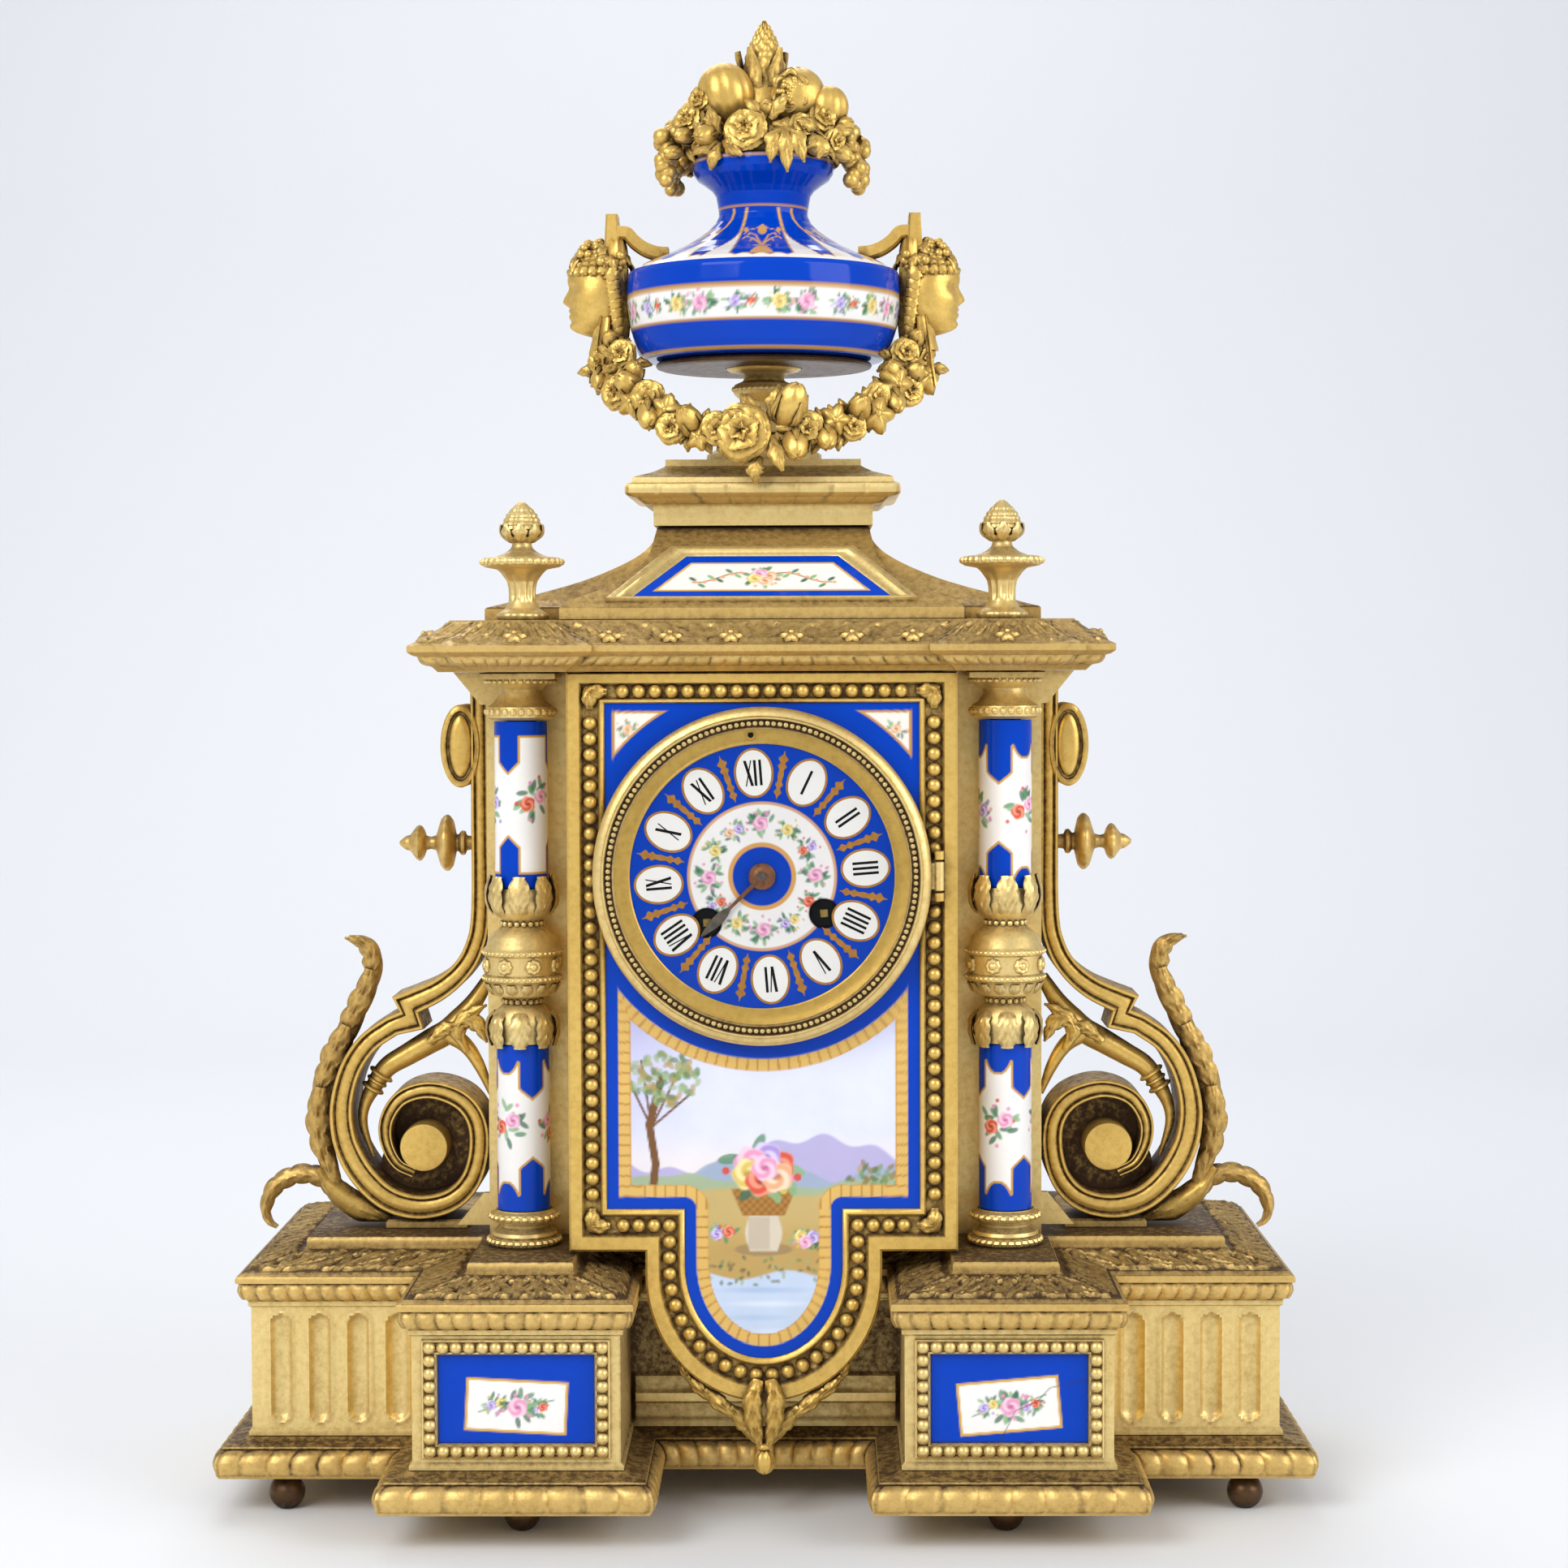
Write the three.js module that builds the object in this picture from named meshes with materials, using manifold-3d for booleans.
// A mantel clock in gilt metal and painted porcelain, in millimetres.
// +Z is up, the dial faces -Y, and the origin is under the middle of the base, where the feet stand.
import * as THREE from 'three';
import { mergeVertices } from 'three/addons/utils/BufferGeometryUtils.js';
import Module from 'manifold-3d';

const wasm = await Module();
wasm.setup();

const gap = 0.3; // clearance between pieces that fit together
const over = 1; // how far a cutting tool reaches past the face it cuts

// Base: two wings, two pedestals that stand forward, and a recess between them
const baseWidth = 344;
const baseBack = 82;
const wingFront = -38;
const recessFront = -26;
const pedestalX = 79;
const pedestalWidth = 67;
const pedestalFront = -82;
const baseWall = 3;
const plinthReach = 12;
const plinthHeight = 12.4;
const plinthFloor = 3; // thickness of the ledge that the feet are screwed to
const plinthLedge = 16; // its width
const bodyHeight = 45.6;
const topHeight = 18;
const topReach = 4.5;
const deckInset = 16;
const slabOuterX = 151;
const slabInnerX = 106;
const slabHeight = 3;
const footRadius = 6;
const footFlat = 24; // the ball is cut off below this many degrees from its lowest point
const footNeck = 3.2;
const footX = 160.5;
const footFrontY = -38;
const footBackY = 80;
const footPedestalY = -64;
const fluteCount = 4;
const flutePitch = 13;
const fluteFirstX = 123;
const fluteWidth = 6.7;
const fluteDepth = 1.5;
const fluteMargin = 5; // plain wall above and below each flute
const plaqueWidth = 50.6;
const plaqueHeight = 29;
const plaqueDepth = 1.8;
const plaqueSetback = 0.5; // the plaque's face lies this far behind the pedestal's

// Case: a plain box with a shallower box in front that carries the dial
const caseWidth = 188;
const caseHeight = 192;
const caseFront = -17;
const caseBack = 74;
const caseWall = 2.2;
const boxWidth = 120;
const boxFront = -46;
const earReach = 11; // the front wall spreads this far at its head and foot
const earHeight = 11;
const rearOpeningWidth = 86;
const rearOpeningFoot = 20; // above the deck
const rearDoorLap = 3;
const rearDoorThickness = 2;
const rearHingeDrop = 40; // below the dial's centre
const rearKnuckle = { radius: 1.7, pin: 0.8, bore: 1.1, half: 14, ear: 4 };

// Columns: porcelain sleeves between turned metal
const columnX = boxWidth / 2 + 20.8;
const columnY = -32;
const sleeveRadius = 8.9;
const sleeveBore = 5.3;
const spigotLength = 7;
const columnBaseHeight = 12.2;
const knopHeight = 52.4;
const capitalHeight = 16.4;
const sleeveHeight = (caseHeight - columnBaseHeight - knopHeight - capitalHeight) / 2;

// Dial side: frame, porcelain panel, apron and bezel
const dialDrop = 67; // the dial's centre lies this far below the cornice
const dialTurn = 4.4; // the movement sits turned in its frame, degrees
const frameWidth = 128;
const frameDepth = 7;
const apronHalf = 39;
const apronShoulder = 8; // how far the apron's straight sides run below the case
const apronDrop = 42;
const panelHalf = 51.5;
const panelHead = 10.4; // frame left above the panel
const panelFoot = 14; // frame left below the panel's wide part
const tongueHalf = 26;
const tongueDrop = 31;
const tongueShoulder = 4.6;
const pocketDepth = 4.5;
const panelThickness = 3;
const leafHalf = 27;
const leafTip = 15.5; // height of the apron leaf's tip above the ground
const leafDepth = 6;
const bezelRadius = 55.4;
const bezelDepth = 7.8;
const bezelBore = 50.6;
const bezelLip = 1.4; // reach of the lip that holds the glass
const bezelKnuckle = { radius: 1.6, pin: 0.7, bore: 1, half: 5, ear: 3 };
const dialVisible = 43.3;
const dialRadius = 45;
const dialThickness = 2.1;
const panTube = 41.8; // outside radius of the tube that holds the dial pan in the case
const panWall = 2;
const panFlange = 50.8;
const windX = 19.2;
const windZ = -13.75;
const windHole = 4.8;
const regulatorZ = 46.4;
const regulatorBore = 1.7;
const handLength = 28;
const handTurn = 230; // clockwise from the twelve

// Cornice, roof and finials
const corniceHeight = 17.2;
const corniceWidth = caseWidth + 50;
const corniceFront = -62;
const corniceBack = 82;
const ressautX = columnX - 0.6;
const ressautWidth = 51.4;
const ressautFront = -68;
const roofY = 18;
const roofWidth = 186;
const roofDepth = 92;
const roofHeight = 31.8;
const roofFrontWidth = 133;
const roofFront = -47;
const capWidth = 74.4;
const capDepth = 58;
const capReach = 9.8;
const capHeight = 23.1;
const capWall = 3;
const roofSlab = 4.2; // upright edge at the roof's foot
const frontSlope = { footY: -44, headY: -24.5, footZ: 6.2, headZ: 22.6 };
const roofPlaqueFoot = 43;
const roofPlaqueHead = 25.4;
const roofPlaqueDepth = 1.4;
const finialX = ressautX - 0.8;
const finialY = roofY - roofDepth / 2 - 10.2;
const finialHeight = 39;

// Side scrolls
const scrollFront = -8;
const scrollDepth = 24;
const leafPlate = 8;
const knobDrop = 58.5; // below the cornice

// Urn on the roof
const urnY = 18;
const urnFootHeight = 34.6;
const urnRadius = 47.6;
const urnHeight = 69.4;
const urnWall = 4.4;
const maskX = 58;

// Movement, pendulum and bell
const plateRadius = 40;
const plateThickness = 2;
const frontPlateY = -38;
const backPlateY = -2;
const barrelRadius = 16;
const barrelLength = 14;
const suspensionZ = 34; // above the dial centre
const pendulumY = 8;
const pendulumLength = caseHeight - 63;
const bobRadius = 17;
const bellRadius = 32;
const bellMouthY = 17;
const bellDepth = 17;
const bellPost = { x: -22, z: -30 };
const arborRadius = 1.5;
const escapeZ = 21;
const escapeRadius = 7;
const hammerX = 33;
const hammerZ = -14;
const hammerRise = 22; // height of the hammer's head above its arbor

// Heights of the storeys, each on the one below
const plinthZ = 2 * footRadius;
const bodyZ = plinthZ + plinthHeight;
const topZ = bodyZ + bodyHeight;
const deckZ = topZ + topHeight;
const corniceZ = deckZ + caseHeight;
const dialZ = corniceZ - dialDrop;
const roofZ = corniceZ + corniceHeight;
const capZ = roofZ + roofHeight;
const urnZ = capZ + capHeight;
const urnBodyZ = urnZ + urnFootHeight;

const gilt = new THREE.MeshStandardMaterial({ color: 0xc9a24a, roughness: 0.42, metalness: 0.9 });
const darkGilt = new THREE.MeshStandardMaterial({ color: 0x5b4330, roughness: 0.5, metalness: 0.8 });
const brass = new THREE.MeshStandardMaterial({ color: 0xb8954f, roughness: 0.35, metalness: 1 });
const steel = new THREE.MeshStandardMaterial({ color: 0x6d6a68, roughness: 0.4, metalness: 1 });
const bluePorcelain = new THREE.MeshStandardMaterial({ color: 0x0c3fb4, roughness: 0.12 });
const whitePorcelain = new THREE.MeshStandardMaterial({ color: 0xf1efe8, roughness: 0.15 });
const paneGlass = new THREE.MeshStandardMaterial({
  color: 0xf4f8f8, roughness: 0.02, transparent: true, opacity: 0.2,
});

const clock = new THREE.Group();

// Welds a geometry's vertices, drops empty triangles and turns its faces outwards.
function closed(geometry) {
  const bare = new THREE.BufferGeometry();
  bare.setAttribute('position', geometry.getAttribute('position'));
  if (geometry.index) bare.setIndex(geometry.index);
  const welded = mergeVertices(bare, 1e-4);
  const at = welded.getAttribute('position');
  const old = welded.index.array;
  const corners = [];
  const [a, b, c] = [new THREE.Vector3(), new THREE.Vector3(), new THREE.Vector3()];
  let volume = 0;
  for (let i = 0; i < old.length; i += 3) {
    const [p, q, r] = [old[i], old[i + 1], old[i + 2]];
    if (p === q || q === r || r === p) continue;
    corners.push(p, q, r);
    a.fromBufferAttribute(at, p);
    b.fromBufferAttribute(at, q);
    c.fromBufferAttribute(at, r);
    volume += a.dot(b.cross(c));
  }
  if (volume < 0) corners.reverse();
  welded.setIndex(corners);
  return welded;
}

function solid(geometry) {
  const shell = closed(geometry);
  return new wasm.Manifold(new wasm.Mesh({
    numProp: 3,
    vertProperties: Float32Array.from(shell.getAttribute('position').array),
    triVerts: Uint32Array.from(shell.index.array),
  }));
}

function shaped(manifold) {
  const mesh = manifold.getMesh();
  const geometry = new THREE.BufferGeometry();
  geometry.setAttribute('position', new THREE.BufferAttribute(mesh.vertProperties, 3));
  geometry.setIndex(new THREE.BufferAttribute(mesh.triVerts, 1));
  return geometry;
}

const join = (...parts) => shaped(parts.map(solid).reduce((sum, next) => sum.add(next)));
const cut = (body, ...tools) => shaped(
  tools.map(solid).reduce((left, tool) => left.subtract(tool), solid(body)),
);

// Closed surface through rings of equal point counts, the first ring at the bottom.
function skin(rings) {
  const count = rings[0].length;
  const corners = [];
  for (let k = 0; k + 1 < rings.length; k += 1) {
    for (let i = 0; i < count; i += 1) {
      const j = (i + 1) % count;
      const [low, high] = [k * count, (k + 1) * count];
      corners.push(low + i, low + j, high + j, low + i, high + j, high + i);
    }
  }
  const flat = (loop) => loop.map(([x, y]) => new THREE.Vector2(x, y));
  const capOf = (loop) => THREE.ShapeUtils.triangulateShape(flat(loop), []);
  for (const [p, q, r] of capOf(rings[0])) corners.push(r, q, p);
  const last = (rings.length - 1) * count;
  for (const [p, q, r] of capOf(rings[rings.length - 1])) corners.push(last + p, last + q, last + r);
  const geometry = new THREE.BufferGeometry();
  geometry.setAttribute('position', new THREE.Float32BufferAttribute(rings.flat(2), 3));
  geometry.setIndex(corners);
  return geometry;
}

// Moves every edge of an anticlockwise outline outwards by the same distance, with mitred corners.
function offset(outline, reach) {
  return outline.map(([x, y], i) => {
    const before = outline[(i + outline.length - 1) % outline.length];
    const after = outline[(i + 1) % outline.length];
    const first = new THREE.Vector2(y - before[1], before[0] - x).normalize();
    const second = new THREE.Vector2(after[1] - y, x - after[0]).normalize();
    const share = reach / (1 + first.dot(second));
    return [x + share * (first.x + second.x), y + share * (first.y + second.y)];
  });
}

// A moulding that runs round an outline: its profile is a list of [reach, height] from the bottom up.
const moulded = (outline, profile) => skin(profile.map(
  ([reach, z]) => offset(outline, reach).map(([x, y]) => [x, y, z]),
));

// Completes a right half, listed from the front to the back, into a whole anticlockwise outline.
const mirrored = (half) => [...half, ...half.map(([x, y]) => [-x, y]).reverse()];

const rectangle = (width, front, back) => mirrored([[width / 2, front], [width / 2, back]]);

// Turned solid about Z from [radius, height] pairs; open ends are closed to the axis.
function turned(profile, segments = 14) {
  const ends = [[0, profile[0][1]], ...profile, [0, profile[profile.length - 1][1]]];
  const points = ends.map(([r, z]) => new THREE.Vector2(r, z));
  return new THREE.LatheGeometry(points, segments).rotateX(Math.PI / 2);
}

// Turned ring about Z: the section closes on itself and stays off the axis.
function ring(section, segments = 32) {
  const points = [...section, section[0]].map(([r, z]) => new THREE.Vector2(r, z));
  return new THREE.LatheGeometry(points, segments).rotateX(Math.PI / 2);
}

// Turns a solid made about Z so that its axis runs along Y and its top faces the viewer.
const facing = (geometry) => geometry.rotateX(Math.PI / 2);

function shapeOf(outline, holes = []) {
  const shape = new THREE.Shape(outline.map(([x, z]) => new THREE.Vector2(x, z)));
  shape.holes = holes.map((hole) => new THREE.Path(hole.map(([x, z]) => new THREE.Vector2(x, z))));
  return shape;
}

// Upright plate from an [x, z] outline, its back face at y = back and its front nearer the viewer.
const plate = (outline, thickness, back, holes = []) => new THREE.ExtrudeGeometry(
  shapeOf(outline, holes), { depth: thickness, bevelEnabled: false },
).rotateX(Math.PI / 2).translate(0, back, 0);

function block(x0, x1, y0, y1, z0, z1) {
  return new THREE.BoxGeometry(x1 - x0, y1 - y0, z1 - z0)
    .translate((x0 + x1) / 2, (y0 + y1) / 2, (z0 + z1) / 2);
}

// Round bar along Y between two depths.
const bar = (radius, x, z, front, back, segments = 12) => new THREE.CylinderGeometry(
  radius, radius, back - front, segments,
).translate(x, (front + back) / 2, z);

const upright = (radius, x, y, low, high, segments = 12) => new THREE.CylinderGeometry(
  radius, radius, high - low, segments,
).rotateX(Math.PI / 2).translate(x, y, (low + high) / 2);

const arc = (cx, cz, a, b, from, to, steps) => Array.from({ length: steps + 1 }, (_, i) => {
  const angle = THREE.MathUtils.degToRad(from + ((to - from) * i) / steps);
  return [cx + a * Math.cos(angle), cz + b * Math.sin(angle)];
});

const turnedBy = (angle, x, z) => [
  x * Math.cos(angle) - z * Math.sin(angle), x * Math.sin(angle) + z * Math.cos(angle),
];

const circle = (cx, cz, radius, steps) => arc(cx, cz, radius, radius, 0, 360, steps).slice(0, steps);

const lump = (x, y, z, rx, ry = rx, rz = rx, detail = 1) => new THREE.IcosahedronGeometry(1, detail)
  .scale(rx, ry, rz).translate(x, y, z);

// Flat band of changing width along a smooth curve through [x, z] points.
function band(points, widths, samples) {
  const spots = points.map(([x, z]) => new THREE.Vector3(x, z, 0));
  const curve = new THREE.CatmullRomCurve3(spots, false, 'centripetal');
  const left = [];
  const right = [];
  for (let i = 0; i <= samples; i += 1) {
    const t = i / samples;
    const place = curve.getPoint(t);
    const along = curve.getTangent(t);
    const spot = t * (widths.length - 1);
    const step = Math.min(Math.floor(spot), widths.length - 2);
    const half = THREE.MathUtils.lerp(widths[step], widths[step + 1], spot - step) / 2;
    left.push([place.x - along.y * half, place.y + along.x * half]);
    right.push([place.x + along.y * half, place.y - along.x * half]);
  }
  return [...left, ...right.reverse()];
}

const mirrorX = (geometry) => closed(geometry.clone().scale(-1, 1, 1));

function piece(name, geometry, material, parent = clock) {
  const mesh = new THREE.Mesh(closed(geometry), material);
  mesh.name = name;
  parent.add(mesh);
  return mesh;
}

const sides = [['left', -1], ['right', 1]];

// Base
const pedestalInner = pedestalX - pedestalWidth / 2;
const pedestalOuter = pedestalX + pedestalWidth / 2;
const baseOutline = mirrored([
  [pedestalInner, recessFront], [pedestalInner, pedestalFront],
  [pedestalOuter, pedestalFront], [pedestalOuter, wingFront],
  [baseWidth / 2, wingFront], [baseWidth / 2, baseBack],
]);

function basePlinth() {
  const rim = moulded(baseOutline, [
    [plinthReach - 2, plinthZ], [plinthReach, plinthZ + 3.2], [plinthReach, plinthZ + 7],
    [plinthReach - 3, plinthZ + 9.6], [3, bodyZ - 1.4], [1.5, bodyZ - gap],
  ]);
  const tray = moulded(baseOutline, [[-1, plinthZ + plinthFloor], [-1, bodyZ + over]]);
  const opening = moulded(baseOutline, [[-plinthLedge, plinthZ - over], [-plinthLedge, bodyZ]]);
  return cut(rim, tray, opening);
}

function baseBody() {
  const walls = moulded(baseOutline, [[0, bodyZ], [0, topZ - gap]]);
  const inside = moulded(baseOutline, [[-baseWall, bodyZ - over], [-baseWall, topZ + over]]);
  const tools = [inside];
  const middle = (bodyZ + topZ) / 2;
  const pocket = plaqueDepth + plaqueSetback + gap;
  for (const [, side] of sides) {
    tools.push(block(
      side * pedestalX - plaqueWidth / 2, side * pedestalX + plaqueWidth / 2,
      pedestalFront - over, pedestalFront + pocket,
      middle - plaqueHeight / 2, middle + plaqueHeight / 2,
    ));
    for (let i = 0; i < fluteCount; i += 1) {
      const x = side * (fluteFirstX + i * flutePitch);
      const [low, high] = [bodyZ + fluteMargin + fluteWidth / 2, topZ - fluteMargin - fluteWidth / 2];
      const outline = [
        ...arc(x, high, fluteWidth / 2, fluteWidth / 2, 0, 180, 4),
        ...arc(x, low, fluteWidth / 2, fluteWidth / 2, 180, 360, 4),
      ];
      tools.push(plate(outline, fluteDepth + over, wingFront + fluteDepth));
    }
  }
  return cut(walls, ...tools);
}

function baseTop() {
  const form = moulded(baseOutline, [
    [0, topZ], [topReach - 1, topZ + 1.2], [topReach, topZ + 3.6], [topReach, topZ + 7],
    [topReach - 1.8, topZ + 9.6], [-deckInset, deckZ],
  ]);
  const inside = moulded(baseOutline, [
    [-baseWall, topZ - over], [-baseWall, topZ + 7], [-deckInset - baseWall, deckZ - baseWall],
  ]);
  const slabs = sides.map(([, side]) => {
    const [near, far] = [side * slabInnerX, side * slabOuterX].sort((p, q) => p - q);
    return block(near, far, wingFront + deckInset, baseBack - deckInset, deckZ - over, deckZ + slabHeight);
  });
  return cut(join(form, ...slabs), inside);
}

piece('base_plinth', basePlinth(), gilt);
piece('base_body', baseBody(), gilt);
piece('base_top', baseTop(), gilt);

for (const [label, side] of sides) {
  const width = plaqueWidth - 2 * gap;
  const height = plaqueHeight - 2 * gap;
  const plaque = new THREE.BoxGeometry(width, plaqueDepth, height);
  const mesh = piece(`plaque_${label}`, plaque, bluePorcelain);
  mesh.position.set(side * pedestalX, pedestalFront + plaqueSetback + plaqueDepth / 2, (bodyZ + topZ) / 2);
}

const footCut = THREE.MathUtils.degToRad(footFlat);
const footStretch = 2 / (1 + Math.cos(footCut));
const footMiddle = footRadius * Math.cos(footCut) * footStretch;
const footProfile = [
  ...arc(0, footMiddle, footRadius, footRadius * footStretch, footFlat - 90, 58, 5),
  [footNeck, plinthZ - gap],
];
const footPlaces = [
  ['foot_front_left', -footX, footFrontY], ['foot_front_right', footX, footFrontY],
  ['foot_pedestal_left', -pedestalX, footPedestalY], ['foot_pedestal_right', pedestalX, footPedestalY],
  ['foot_back_left', -footX, footBackY], ['foot_back_right', footX, footBackY],
];
for (const [name, x, y] of footPlaces) {
  piece(name, turned(footProfile, 12), darkGilt).position.set(x, y, 0);
}

// Case
const rearHalf = rearOpeningWidth / 2;
const rearFoot = deckZ + rearOpeningFoot;
const archOutline = (half, foot) => [
  [half, foot], ...arc(0, dialZ, half, half, 0, 180, 16), [-half, foot],
];
const rearHingeX = rearHalf + rearDoorLap + 2.2;
const rearHingeZ = dialZ - rearHingeDrop;
const rearHingeY = caseBack + gap + rearKnuckle.radius;

function caseBody() {
  const front = mirrored([
    [boxWidth / 2, boxFront], [boxWidth / 2, caseFront],
    [caseWidth / 2, caseFront], [caseWidth / 2, caseBack],
  ]);
  const outer = moulded(front, [[0, deckZ], [0, corniceZ - gap]]);
  const inner = moulded(front, [[-caseWall, deckZ + caseWall], [-caseWall, corniceZ - gap - caseWall]]);
  const [low, high] = [deckZ + slabHeight + gap, corniceZ - gap];
  const half = caseWidth / 2;
  const spread = half + earReach;
  const ears = sides.flatMap(([, side]) => [[low, 1], [high, -1]].map(([z, way]) => plate([
    [side * (half - over), z], [side * spread, z], [side * (half + 2), z + way * earHeight],
    [side * (half - over), z + way * earHeight],
  ], caseWall, caseFront + caseWall)));
  const knuckles = [-1, 1].map((end) => {
    const from = rearHingeZ + end * (rearKnuckle.half + gap);
    const to = from + end * rearKnuckle.ear;
    const [z0, z1] = [Math.min(from, to), Math.max(from, to)];
    return join(
      upright(rearKnuckle.radius, rearHingeX, rearHingeY, z0, z1),
      block(
        rearHingeX - rearKnuckle.pin, rearHingeX + rearKnuckle.pin, caseBack - over, rearHingeY, z0, z1,
      ),
    );
  });
  const reach = rearKnuckle.half + over;
  const pin = upright(rearKnuckle.pin, rearHingeX, rearHingeY, rearHingeZ - reach, rearHingeZ + reach);
  return cut(
    join(outer, ...ears, ...knuckles, pin),
    inner,
    bar(panTube + 2 * gap, 0, dialZ, boxFront - over, boxFront + caseWall + over, 32),
    bar(regulatorBore, regulatorX, dialZ + regulatorUp, boxFront - over, boxFront + caseWall + over),
    plate(archOutline(rearHalf, rearFoot), caseWall + 2 * over, caseBack + over),
  );
}

// Places a point of the movement that sits turned about the dial's centre.
const turn = THREE.MathUtils.degToRad(dialTurn);
const turnedPoint = (x, z) => turnedBy(turn, x, z);
const [regulatorX, regulatorUp] = turnedPoint(0, regulatorZ);

piece('case', caseBody(), gilt);

function rearDoor() {
  const lap = rearHalf + rearDoorLap;
  const [inner, outer] = [caseBack + gap, caseBack + gap + rearDoorThickness];
  const panel = plate(archOutline(lap, rearFoot - rearDoorLap), rearDoorThickness, outer);
  const low = rearHingeZ - rearKnuckle.half;
  const high = rearHingeZ + rearKnuckle.half;
  const tube = upright(rearKnuckle.radius, rearHingeX, rearHingeY, low, high);
  const tongue = block(lap - over, rearHingeX, inner, outer, low, high);
  const knob = bar(2.5, -lap + 7, rearHingeZ, inner + over, outer + 6);
  const bore = upright(rearKnuckle.bore, rearHingeX, rearHingeY, low - over, high + over);
  return cut(join(panel, tube, tongue, knob), bore);
}

piece('rear_door', rearDoor(), brass);

// Columns
function columnParts(side, label) {
  const group = new THREE.Group();
  group.position.set(side * columnX, columnY, deckZ);
  clock.add(group);
  const r = sleeveRadius;
  const pin = sleeveBore - gap;
  const base = [
    [r + 5.6, 0], [r + 5.6, 3], [r + 3.6, 4.4], [r + 0.3, 6.6], [r + 2.7, 8.4],
    [r + 2.7, 11], [r + 0.6, columnBaseHeight - gap], [pin, columnBaseHeight - gap],
    [pin, columnBaseHeight + spigotLength],
  ];
  const sleeve = ring([[sleeveBore, 0], [r, 0], [r, sleeveHeight], [sleeveBore, sleeveHeight]], 14);
  const h = knopHeight;
  const knop = [
    [pin, -spigotLength], [pin, gap], [r + 0.7, gap], [r + 2.5, 5], [r + 1.4, 11], [r - 3.2, 14],
    [r + 2.4, 17.6], [r + 4.9, 22.4], [r + 4.9, 30.6], [r + 3, 35.6], [r - 2.6, 40],
    [r + 2.3, 46], [r + 2.3, h - gap], [pin, h - gap], [pin, h + spigotLength],
  ];
  const knopZ = columnBaseHeight + sleeveHeight;
  const capitalZ = knopZ + knopHeight + sleeveHeight;
  const capital = [
    [pin, -spigotLength], [pin, gap], [r + 0.8, gap], [r + 3.1, 2.2], [r + 3.1, 5], [r - 1.6, 8.6],
    [r - 1.4, 11.4], [r + 2.8, 13.4], [r + 2.9, capitalHeight - gap],
  ];
  const stack = [
    ['base', turned(base), gilt, 0],
    ['lower_sleeve', sleeve, bluePorcelain, columnBaseHeight],
    ['knop', turned(knop), gilt, knopZ],
    ['upper_sleeve', sleeve.clone(), bluePorcelain, knopZ + knopHeight],
    ['capital', turned(capital), gilt, capitalZ],
  ];
  for (const [part, geometry, material, z] of stack) {
    piece(`column_${part}_${label}`, geometry, material, group).position.z = z;
  }
}
for (const [label, side] of sides) columnParts(side, label);

// Front frame, panel and apron leaf
const frameBack = boxFront;
const frameFront = boxFront - frameDepth;
const apronZ = deckZ + 1;
const apronCurveZ = apronZ - apronShoulder;
const frameOutline = [
  [frameWidth / 2, apronZ], [frameWidth / 2, corniceZ - gap],
  [-frameWidth / 2, corniceZ - gap], [-frameWidth / 2, apronZ], [-apronHalf, apronZ],
  ...arc(0, apronCurveZ, apronHalf, apronDrop, 180, 360, 24),
  [apronHalf, apronZ],
];
const panelTop = corniceZ - panelHead;
const panelStep = apronZ + panelFoot;
const tongueZ = apronZ - tongueShoulder;
const pocketOutline = [
  [panelHalf, panelStep], [panelHalf, panelTop], [-panelHalf, panelTop], [-panelHalf, panelStep],
  [-tongueHalf, panelStep],
  ...arc(0, tongueZ, tongueHalf, tongueDrop, 180, 360, 20),
  [tongueHalf, panelStep],
];
const bezelHingeX = bezelRadius + 2.4;
const bezelHingeY = frameFront - 3.6;

function frontFrame() {
  const body = plate(frameOutline, frameDepth, frameBack);
  const ears = [-1, 1].map((end) => {
    const from = dialZ + end * (bezelKnuckle.half + gap);
    const to = from + end * bezelKnuckle.ear;
    const [z0, z1] = [Math.min(from, to), Math.max(from, to)];
    return join(
      upright(bezelKnuckle.radius, bezelHingeX, bezelHingeY, z0, z1),
      block(
        bezelHingeX - bezelKnuckle.pin, bezelHingeX + bezelKnuckle.radius,
        bezelHingeY, frameFront + over, z0, z1,
      ),
    );
  });
  const reach = bezelKnuckle.half + over;
  const pin = upright(bezelKnuckle.pin, bezelHingeX, bezelHingeY, dialZ - reach, dialZ + reach);
  return cut(
    join(body, ...ears, pin),
    plate(pocketOutline, pocketDepth + over, frameFront + pocketDepth),
    bar(panTube + 2 * gap, 0, dialZ, frameFront - over, frameBack + over, 32),
    bar(regulatorBore, regulatorX, dialZ + regulatorUp, frameFront - over, frameBack + over),
  );
}
piece('front_frame', frontFrame(), gilt);

const pocketFloor = frameFront + pocketDepth;
const panelFace = pocketFloor - panelThickness;
const panelHole = regulatorZ + 2.4; // clears the regulator's arbor
piece('front_panel', plate(
  offset(pocketOutline, -gap), panelThickness, pocketFloor, [circle(0, dialZ, panelHole, 32)],
), bluePorcelain);

function apronLeaf() {
  const rim = arc(0, apronCurveZ, apronHalf + gap, apronDrop + gap, 225, 315, 14);
  const drop = apronCurveZ - apronDrop;
  const outline = [
    ...rim, [leafHalf - 5, drop + 3], [leafHalf * 0.42, drop - 3], [5, drop - 9], [2.4, leafTip + 4],
    [0, leafTip], [-2.4, leafTip + 4], [-5, drop - 9], [-leafHalf * 0.42, drop - 3],
    [-leafHalf + 5, drop + 3],
  ];
  return plate(outline, leafDepth, frameFront + leafDepth);
}
piece('apron_leaf', apronLeaf(), gilt);

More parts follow.
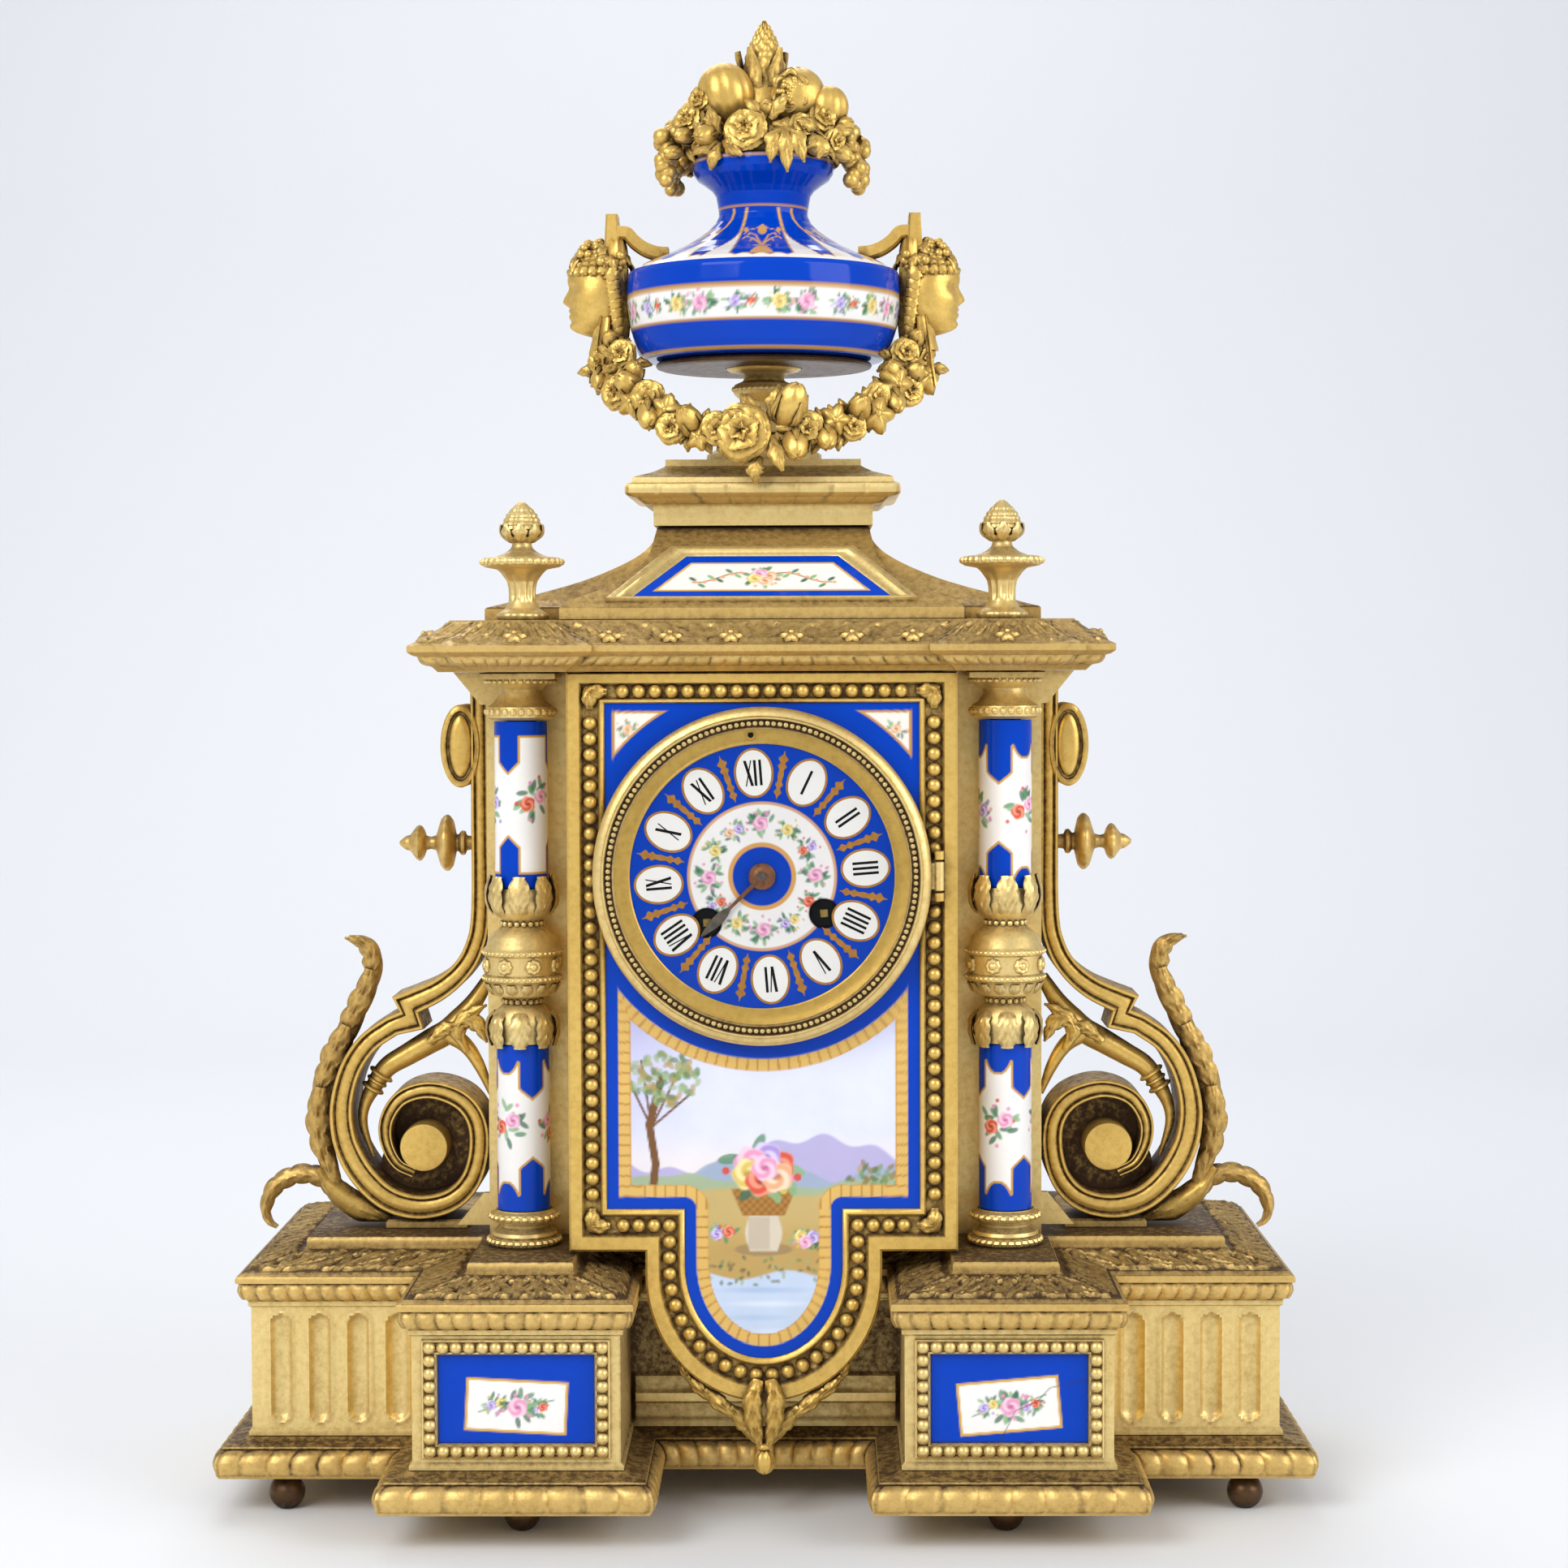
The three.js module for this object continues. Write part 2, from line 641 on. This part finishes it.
// Bezel, glass and dial, about an axis along Y through the dial's centre
const dialGroup = new THREE.Group();
dialGroup.position.set(0, 0, dialZ);
dialGroup.rotation.y = -turn;
clock.add(dialGroup);

const panFloor = panelFace - gap;
const panBack = frontPlateY - plateThickness - 2 * gap;
const dialBack = panFloor - 1 - gap;
const dialFace = dialBack - dialThickness;
const lipBack = dialFace - gap;
const ringFront = lipBack - 1.3;
const glassBack = ringFront - 0.5;
const glassFront = glassBack - 1.2;
const bezelBack = frameFront - 3 * gap;
const bezelFront = bezelBack - bezelDepth;
const lipBore = bezelBore - bezelLip;

function bezelRing() {
  const section = [
    [bezelBore, -bezelBack], [bezelRadius, -bezelBack], [bezelRadius, -bezelBack + 2.6],
    [bezelRadius - 1.4, -bezelBack + 5.6], [bezelRadius - 3, -bezelFront], [bezelBore + 0.6, -bezelFront],
    [bezelBore, -glassFront + 1.6], [lipBore, -glassFront + 1.6], [lipBore, -glassFront + gap],
    [bezelBore, -glassFront + gap],
  ];
  const [low, high] = [dialZ - bezelKnuckle.half, dialZ + bezelKnuckle.half];
  const hoop = facing(ring(section, 30)).translate(0, 0, dialZ);
  const tube = upright(bezelKnuckle.radius, bezelHingeX, bezelHingeY, low, high);
  const lug = block(bezelRadius - 2.5, bezelHingeX, bezelHingeY - 1.2, bezelHingeY + 1.2, low, high);
  const bore = upright(bezelKnuckle.bore, bezelHingeX, bezelHingeY, dialZ - 10, dialZ + 10);
  return cut(join(hoop, tube, lug), bore);
}
piece('bezel', bezelRing(), gilt);
piece('bezel_glass', bar(bezelBore - gap, 0, dialZ, glassFront, glassBack, 36), paneGlass);

const panSection = [
  [panTube - panWall, -panBack], [panTube, -panBack],
  [panTube, -panFloor], [panFlange, -panFloor], [panFlange, -panFloor + 1.8],
  [lipBore - gap, -panFloor + 1.8], [lipBore - gap, -ringFront - 0.5], [lipBore - 1.4, -ringFront],
  [dialVisible + 1.1, -ringFront], [dialVisible, -ringFront - 0.7], [dialVisible, -lipBack],
  [dialRadius + gap, -lipBack], [dialRadius + gap, -dialBack - gap], [panTube - panWall, -dialBack - gap],
];
piece('dial_ring', cut(
  facing(ring(panSection, 28)),
  bar(1.3, 0, regulatorZ, ringFront - over, panFloor + over),
), gilt, dialGroup);
piece('dial', plate(circle(0, 0, dialRadius, 36), dialThickness, dialBack, [
  circle(0, 0, 2.8, 10), circle(windX, windZ, windHole, 14), circle(-windX, windZ, windHole, 14),
]), whitePorcelain, dialGroup);

// Hour hand: a leaf on a slim stem, with a collet and the pipe behind it
function hourHand() {
  const angle = THREE.MathUtils.degToRad(90 - handTurn);
  const outline = [
    [0, -0.6], [12, -0.5], [14.6, -1.2], [17.9, -1.85], [21, -1.4], [handLength, 0],
    [21, 1.4], [17.9, 1.85], [14.6, 1.2], [12, 0.5], [0, 0.6],
  ].map(([x, z]) => turnedBy(angle, x, z));
  const leaf = plate(outline, 0.6, dialFace - 0.4);
  const collet = bar(4.4, 0, 0, dialFace - 1.2, dialFace - 0.4, 16);
  const pipe = bar(2.4, 0, 0, dialFace - 1, dialBack + 4, 10);
  return cut(join(leaf, collet, pipe), bar(arborRadius + gap, 0, 0, dialFace - 3, dialBack + 5, 10));
}
piece('hour_hand', hourHand().rotateY(turn), darkGilt, dialGroup);

// Movement: two plates, pillars, suspension cock and the bell's stand
const wheelY = frontPlateY + plateThickness + 4;
const barrelY = frontPlateY + plateThickness + 10;
function movementPlates() {
  const front = bar(plateRadius, 0, 0, frontPlateY - plateThickness, frontPlateY, 32);
  const back = bar(plateRadius, 0, 0, backPlateY, backPlateY + plateThickness, 32);
  const pillars = [25, 155, 255, 285].map((degrees) => {
    const [[x, z]] = arc(0, 0, plateRadius - 5, plateRadius - 5, degrees, degrees, 1);
    return bar(2.2, x, z, frontPlateY - over, backPlateY + over, 8);
  });
  const cockBack = pendulumY + 3;
  const cock = block(-5, 5, backPlateY + over, cockBack, suspensionZ + 3, regulatorZ + 3);
  const bellCrown = bellMouthY + bellDepth;
  const post = bar(1.8, bellPost.x, bellPost.z, backPlateY, bellCrown + 6, 8);
  const arm = block(-2.5, 2.5, bellCrown + 3, bellCrown + 6, 0, Math.hypot(bellPost.x, bellPost.z));
  arm.rotateY(Math.atan2(bellPost.x, bellPost.z));
  const stud = bar(3, 0, 0, bellCrown + gap, bellCrown + 5, 10);
  return cut(
    join(front, back, ...pillars, cock, post, arm, stud),
    bar(arborRadius + gap, 0, 0, frontPlateY - 9, frontPlateY + over, 10),
    ...[-1, 1].map((side) => bar(2.3, side * windX, windZ, frontPlateY - 9, backPlateY + 9, 10)),
    bar(1.2, 0, suspensionZ, frontPlateY - 9, backPlateY + 6, 10),
    bar(1.2, 0, escapeZ, frontPlateY - 9, backPlateY + 6, 10),
    bar(1.2, hammerX, hammerZ, barrelY, backPlateY + 9, 10),
  );
}
piece('movement_plates', movementPlates(), brass, dialGroup);

for (const [label, side] of [['strike', -1], ['going', 1]]) {
  const square = block(-1.2, 1.2, dialFace + 0.6, frontPlateY + 1, -1.2, 1.2);
  const spindle = bar(2, 0, 0, frontPlateY - plateThickness - gap, backPlateY + plateThickness, 10);
  const drum = bar(barrelRadius, 0, 0, barrelY, barrelY + barrelLength, 24);
  const wheel = bar(barrelRadius + 1.8, 0, 0, barrelY + barrelLength - 1, barrelY + barrelLength + 1, 28);
  piece(`${label}_barrel`, join(square, spindle, drum, wheel), brass, dialGroup)
    .position.set(side * windX, 0, windZ);
}

const centreRod = bar(arborRadius, 0, 0, dialFace - 1.6, wheelY + 1, 10);
const centreWheel = bar(11, 0, 0, wheelY - 1.2, wheelY, 20);
piece('centre_arbor', join(centreRod, centreWheel), steel, dialGroup);
piece('regulator_arbor', bar(1, 0, 0, ringFront + 1.5, backPlateY - gap, 8), steel, dialGroup)
  .position.set(0, 0, regulatorZ);

const escapeY = backPlateY - 7;
piece('escape_wheel', join(
  bar(0.9, 0, 0, frontPlateY - over, backPlateY + over, 8),
  bar(escapeRadius, 0, 0, escapeY, escapeY + 1.5, 20),
), brass, dialGroup).position.set(0, 0, escapeZ);

function anchorCrutch() {
  const arbor = bar(0.9, 0, 0, frontPlateY - over, pendulumY - 2.4, 8);
  const drop = escapeZ - suspensionZ;
  const reach = escapeRadius + 1.4;
  const bow = [
    [-reach - 1.6, drop + 2], [-reach, drop + 2], [-reach + 1.6, -3.4], [0, -1.6], [reach - 1.6, -3.4],
    [reach, drop + 2], [reach + 1.6, drop + 2], [reach - 0.4, -1.8], [0, 1.6], [-reach + 0.4, -1.8],
  ];
  const pallets = plate(bow.reverse(), 1.5, escapeY + 1.5);
  const crutch = block(-1, 1, pendulumY - 4, pendulumY - 2.4, -28, 1);
  return join(arbor, pallets, crutch);
}
piece('anchor_crutch', anchorCrutch(), steel, dialGroup).position.set(0, 0, suspensionZ);

function pendulum() {
  const spring = block(-2, 2, pendulumY - 0.2, pendulumY + 0.2, -6, 2.6 - gap);
  const rod = upright(1.1, 0, pendulumY, -pendulumLength, -5, 8);
  const bob = facing(turned([[bobRadius - 3, -pendulumY - 4], [bobRadius, -pendulumY - 1.5],
    [bobRadius, -pendulumY + 1.5], [bobRadius - 3, -pendulumY + 4]], 24)).translate(0, 0, -pendulumLength);
  const bobFoot = -pendulumLength - bobRadius;
  const nut = upright(2.4, 0, pendulumY, bobFoot - 3, bobFoot + 1, 8);
  return join(spring, rod, bob, nut);
}
const [suspendX, suspendUp] = turnedPoint(0, suspensionZ);
piece('pendulum', pendulum(), brass).position.set(suspendX, 0, dialZ + suspendUp);

const bellSection = [
  [bellRadius, 0], [bellRadius - 1.6, 0.4], [bellRadius * 0.86, bellDepth * 0.5],
  [bellRadius * 0.62, bellDepth * 0.82], [1, bellDepth - 1.6], [1, bellDepth],
  [bellRadius * 0.66, bellDepth * 0.92], [bellRadius * 0.93, bellDepth * 0.5],
];
const bellShape = ring(bellSection, 22).rotateX(-Math.PI / 2).translate(0, bellMouthY, 0);
piece('bell', bellShape, brass, dialGroup);

function hammer() {
  const headRadius = 3;
  const headX = Math.sqrt(bellRadius ** 2 - (hammerZ + hammerRise) ** 2) + headRadius + 1.4 - hammerX;
  const rod = bar(0.9, 0, 0, barrelY + barrelLength + 3, bellMouthY + 5, 8);
  const shank = block(-0.9, 0.9, bellMouthY + 2, bellMouthY + 4, 0, hammerRise);
  const reach = block(0, headX, bellMouthY + 2, bellMouthY + 4, hammerRise - 1, hammerRise + 1);
  const head = bar(headRadius, headX, hammerRise, bellMouthY, bellMouthY + 6, 12);
  return join(rod, shank, reach, head);
}
piece('hammer', hammer(), steel, dialGroup).position.set(hammerX, 0, hammerZ);

// Cornice and roof
const corniceOutline = mirrored([
  [ressautX - ressautWidth / 2, corniceFront], [ressautX - ressautWidth / 2, ressautFront],
  [ressautX + ressautWidth / 2, ressautFront], [ressautX + ressautWidth / 2, corniceFront],
  [corniceWidth / 2, corniceFront], [corniceWidth / 2, corniceBack],
]);
function cornice() {
  const form = moulded(corniceOutline, [
    [-9, corniceZ], [-7.4, corniceZ + 1.6], [-5.6, corniceZ + 2.2], [-2.6, corniceZ + 5],
    [0, corniceZ + 6.2], [0, corniceZ + 8.6], [-12.6, roofZ - gap],
  ]);
  const well = rectangle(roofWidth - 16, roofY - roofDepth / 2 + 8, roofY + roofDepth / 2 - 8);
  return cut(form, moulded(well, [[0, corniceZ + 4], [0, roofZ + over]]));
}
piece('cornice', cornice(), gilt);

const at = ([halfX, front, back], z) => [[halfX, front], [halfX, back], [-halfX, back], [-halfX, front]]
  .map(([x, y]) => [x, y, z]);
function roofBody() {
  const halfNeck = capWidth / 2 - 3.2;
  const halfY = (halfX) => 25 + ((halfX - halfNeck) * (roofDepth / 2 - 25)) / (roofWidth / 2 - halfNeck);
  const section = (halfX, z, thin = 0) => at(
    [halfX - thin, roofY - halfY(halfX) + thin, roofY + halfY(halfX) - thin], z,
  );
  const sweep = [[1, 4.2], [0.78, 7.6], [0.42, 14], [0.13, 22.4], [0, roofHeight - gap]];
  const halfAt = (share) => halfNeck + share * (roofWidth / 2 - halfNeck);
  const main = skin([
    section(roofWidth / 2, roofZ), ...sweep.map(([share, z]) => section(halfAt(share), roofZ + z)),
  ]);
  const frontAt = (z) => THREE.MathUtils.mapLinear(
    z, frontSlope.footZ, frontSlope.headZ, frontSlope.footY, frontSlope.headY,
  );
  const slope = [[1, 6.2], [0.56, 10.6], [0.28, 15], [0.1, 19.4], [0.04, 22.6]];
  const halfFront = roofFrontWidth / 2 - 3;
  const front = skin([
    at([roofFrontWidth / 2, roofFront, roofY], roofZ),
    at([roofFrontWidth / 2, roofFront, roofY], roofZ + roofSlab),
    ...slope.map(([share, z]) => at([36.6 + share * (halfFront - 36.6), frontAt(z), roofY], roofZ + z)),
    at([capWidth / 2 - 1.2, roofY - capDepth / 2 + 1.6, roofY], capZ - gap),
  ]);
  const inside = skin([
    section(roofWidth / 2, roofZ - over, 12), section(halfAt(0.78), roofZ + 3, 10),
    section(halfAt(0.42), roofZ + 9, 5), section(halfAt(0.13), roofZ + 18, 4),
  ]);
  const pocket = slopePlate(roofPlaqueFoot, roofPlaqueHead, roofPlaqueDepth + 2 * gap, over);
  return cut(join(main, front), inside, pocket);
}

const slopeRise = frontSlope.headZ - frontSlope.footZ;
const slopeRun = frontSlope.headY - frontSlope.footY;
// Trapezoid sunk in the sloping front: its face is the slope, or stands proud of it where asked.
function slopePlate(foot, head, depth, proud = 0, inset = 0) {
  const length = Math.hypot(slopeRise, slopeRun);
  const outline = [
    [-foot + 2 * inset, 1.2 + inset], [foot - 2 * inset, 1.2 + inset],
    [head - inset, length - 2.6 - inset], [-head + inset, length - 2.6 - inset],
  ];
  return new THREE.ExtrudeGeometry(shapeOf(outline), { depth: depth + proud, bevelEnabled: false })
    .translate(0, 0, -depth).rotateX(Math.atan2(slopeRise, slopeRun))
    .translate(0, frontSlope.footY, roofZ + frontSlope.footZ);
}
piece('roof', roofBody(), gilt);
const roofPlaque = slopePlate(roofPlaqueFoot, roofPlaqueHead, roofPlaqueDepth + gap, -gap, gap);
piece('roof_plaque', roofPlaque, bluePorcelain);

const capOutline = rectangle(capWidth, roofY - capDepth / 2, roofY + capDepth / 2);
const capForm = moulded(capOutline, [
  [0, capZ], [0, capZ + 7.4], [capReach - 2.2, capZ + 8.4], [capReach, capZ + 9.2],
  [capReach, capZ + 13.4], [capReach - 2.6, capZ + 14], [capReach - 2.8, capZ + 16.2],
  [-3.9, capZ + 20.2], [-3.9, urnZ - gap],
]);
const capInside = moulded(capOutline, [[-capWall, capZ - over], [-capWall, capZ + 14]]);
piece('roof_cap', cut(capForm, capInside), gilt);

const finialProfile = [
  [8.3, 0], [8.3, 2.4], [5.4, 4.6], [4.2, 8], [4.6, 12.6], [6.6, 15], [8.2, 17], [13.8, 18],
  [13.8, 20.2], [5.6, 22.2], [3.2, 24.4], [3.4, 27], [6.4, 28.4], [5.8, 32.6], [3.4, 36.4],
];
for (const [label, side] of sides) {
  const profile = [...finialProfile, [0.8, finialHeight]];
  piece(`finial_${label}`, turned(profile), gilt).position.set(side * finialX, finialY, roofZ);
}

// Side scrolls with their leaves and knobs, drawn from the foot of the case's left side and mirrored
const scrollBack = scrollFront + scrollDepth;
function scroll() {
  const arm = band([
    [-3.4, caseHeight - 18], [-3.4, 140], [-3.5, 109], [-5.4, 98], [-9.6, 90], [-17, 83.8], [-29.5, 78.6],
  ], [6, 6, 6, 6.6, 7.4], 12);
  const coil = band([
    [-21.8, 74], [-35.3, 69.4], [-43, 64], [-48.4, 56.6], [-51.2, 47.3], [-52, 38],
    [-50, 27.9], [-44.4, 18], [-35.9, 10.4], [-25.2, 7.6], [-14.5, 10], [-7.6, 16.8],
    [-4.6, 27.1], [-5.4, 37.4], [-11, 44.8], [-21.3, 48.2], [-31, 45.6], [-36.2, 38.4],
    [-36.6, 30.6], [-33, 23], [-27, 19.6],
  ], [6.6, 7, 7.4, 8.6, 8.4, 7, 6.6, 5, 3.4], 40);
  const oval = arc(-9.9, caseHeight - 25.6, 6.9, 14.2, 0, 360, 14).slice(0, 14);
  const eye = circle(-23.6, 28.3, 8.5, 14);
  const outlines = [arm, coil.reverse(), oval, eye];
  return join(...outlines.map((outline) => plate(outline, scrollDepth, scrollBack)))
    .translate(-caseWidth / 2, 0, deckZ);
}
function scrollLeaves() {
  const middle = (scrollFront + scrollBack) / 2 + leafPlate / 2;
  const upper = band([
    [-56.8, 20], [-60.6, 31.4], [-60.7, 43.7], [-57, 56.7], [-52.7, 66], [-46.4, 74.4],
    [-41.8, 83], [-40.2, 92.5], [-43.4, 98.9], [-49.6, 100.2],
  ], [3, 7, 8, 8, 7, 7, 6, 4.4, 1], 16);
  const lower = band([
    [-52.5, 9.5], [-56.7, 13.3], [-63.9, 17.6], [-71.1, 18.4], [-78.3, 14], [-81.3, 6.8],
    [-77.4, -1],
  ], [5, 7, 6.6, 7, 6, 1.4], 12);
  const web = circle(-56.3, 17, 4.3, 12);
  return join(...[upper, lower, web].map((outline) => plate(outline, leafPlate, middle)))
    .translate(-caseWidth / 2, 0, deckZ);
}
const knobProfile = [
  [2.3, 0], [3.4, 3.4], [8.6, 6], [9.7, 8.4], [8.6, 11.4], [3, 13.6], [2.4, 16.4], [5.8, 18.6],
  [5.2, 21], [1, 26.4],
];
const knobShape = turned(knobProfile, 14).rotateY(-Math.PI / 2);
const scrollShape = scroll();
const leavesShape = scrollLeaves();
for (const [label, side] of sides) {
  const place = (geometry) => (side < 0 ? geometry : mirrorX(geometry));
  piece(`scroll_${label}`, place(scrollShape), gilt);
  piece(`scroll_leaves_${label}`, place(leavesShape), gilt);
  const knob = knobShape.clone()
    .translate(-caseWidth / 2 - 6.4 - gap, (scrollFront + scrollBack) / 2, corniceZ - knobDrop);
  piece(`side_knob_${label}`, place(knob), gilt);
}

// Urn
piece('urn_foot', turned([
  [20, 0], [20, 3], [16.5, 5], [9, 10.6], [6.6, 17], [7.2, 21], [10.6, 24.2], [10.6, 26.6],
  [6.7, 28.6], [7, 30.6], [34, 32.6], [36, urnFootHeight - gap],
], 20), gilt).position.set(0, urnY, urnZ);

const urnProfile = [
  [34, 0], [43, 1.2], [urnRadius - 3, 5], [urnRadius, 16], [urnRadius, 25], [urnRadius - 0.7, 30.6],
  [40, 34.4], [28, 39.8], [19.5, 44.8], [15.4, 49.4], [16.2, 53.6], [17.6, 58.6], [22.6, 63],
  [24.4, 66], [24.4, urnHeight - gap],
];
const urnInside = [
  [30, 5], [urnRadius - urnWall, 15], [urnRadius - urnWall, 27], [24, 37], [11.4, 46], [11.4, 57],
  [20.4, urnHeight],
];
const urnShape = cut(turned(urnProfile, 24), turned(urnInside, 12));
piece('urn_body', urnShape, bluePorcelain).position.set(0, urnY, urnBodyZ);

const lipZ = urnBodyZ + urnHeight;
function urnMask() {
  const z = urnBodyZ;
  const head = lump(-maskX, urnY, z + 24.6, 11.6, 11, 16, 2);
  const crown = block(-maskX + 2, -urnRadius - 1.4, urnY - 8, urnY + 8, z + 20, z + 50);
  const curl = plate([
    [-52, z + 44], [-49, z + 53], [-45.6, z + 53], [-42, z + 42], [-34, z + 39.6], [-34, z + 37.8],
    [-44, z + 36.6], [-47, z + 33],
  ].reverse(), 8, urnY + 4);
  const ribbon = block(-maskX - 2, -maskX + 8, urnY - 3.4, urnY + 3, z - 2.2, z + 12);
  return join(head, crown, curl, ribbon);
}
const urnSpace = (clearance) => turned(urnProfile.map(([r, z]) => [r + clearance, z]), 24)
  .translate(0, urnY, urnBodyZ);
const maskShape = cut(urnMask(), urnSpace(2 * gap));
for (const [label, side] of sides) {
  piece(`urn_mask_${label}`, side < 0 ? maskShape : mirrorX(maskShape), gilt);
}

function garland() {
  const z = urnBodyZ;
  const half = [
    [0, -24, -30], [8, -23.4, -29.4], [22, -20.5, -26], [34, -13, -20], [44, -1.6, -12], [51, 8.6, -6.4],
  ];
  const whole = [...half.slice(1).map(([x, y, dz]) => [-x, y, dz]).reverse(), ...half];
  const path = new THREE.CatmullRomCurve3(whole.map(([x, y, dz]) => new THREE.Vector3(x, y, z + dz)));
  const stem = new THREE.ExtrudeGeometry(shapeOf(circle(0, 0, 2.4, 6)), {
    steps: 12, extrudePath: path, bevelEnabled: false,
  });
  const roses = whole.map(([x, y, dz], i) => lump(x, y, z + dz, i % 2 ? 6.4 : 7.2));
  const pendant = lump(0, -25.5, z - 38, 3.4, 2.6, 6.4);
  return join(stem, ...roses, pendant);
}
piece('urn_garland', garland(), gilt);

function fruit() {
  const z = lipZ;
  return cut(
    join(
      turned([[22, 0], [25, 5], [17, 18], [8, 26]], 14).translate(0, urnY, z),
      lump(0, urnY, z + 33, 6.6, 6.6, 15),
      lump(-13, urnY - 9, z + 19, 9.4), lump(12, urnY - 9, z + 18, 9.4),
      lump(0, urnY + 12, z + 18, 11), lump(-24, urnY, z + 9, 7.6), lump(25, urnY, z + 8, 7.6),
      lump(-32, urnY - 1, z - 0.6, 4.6, 5, 9.4), lump(33, urnY - 1, z - 0.6, 4.6, 5, 9.4),
      lump(0, urnY - 21, z + 5, 13, 5.4, 5.4), lump(0, urnY + 20, z + 6, 15, 6, 6),
    ),
    urnSpace(gap),
    turned([[24.7, -gap - 12], [24.7, 0]], 24).translate(0, urnY, z),
  );
}
piece('urn_fruit', fruit(), gilt);

export default clock;
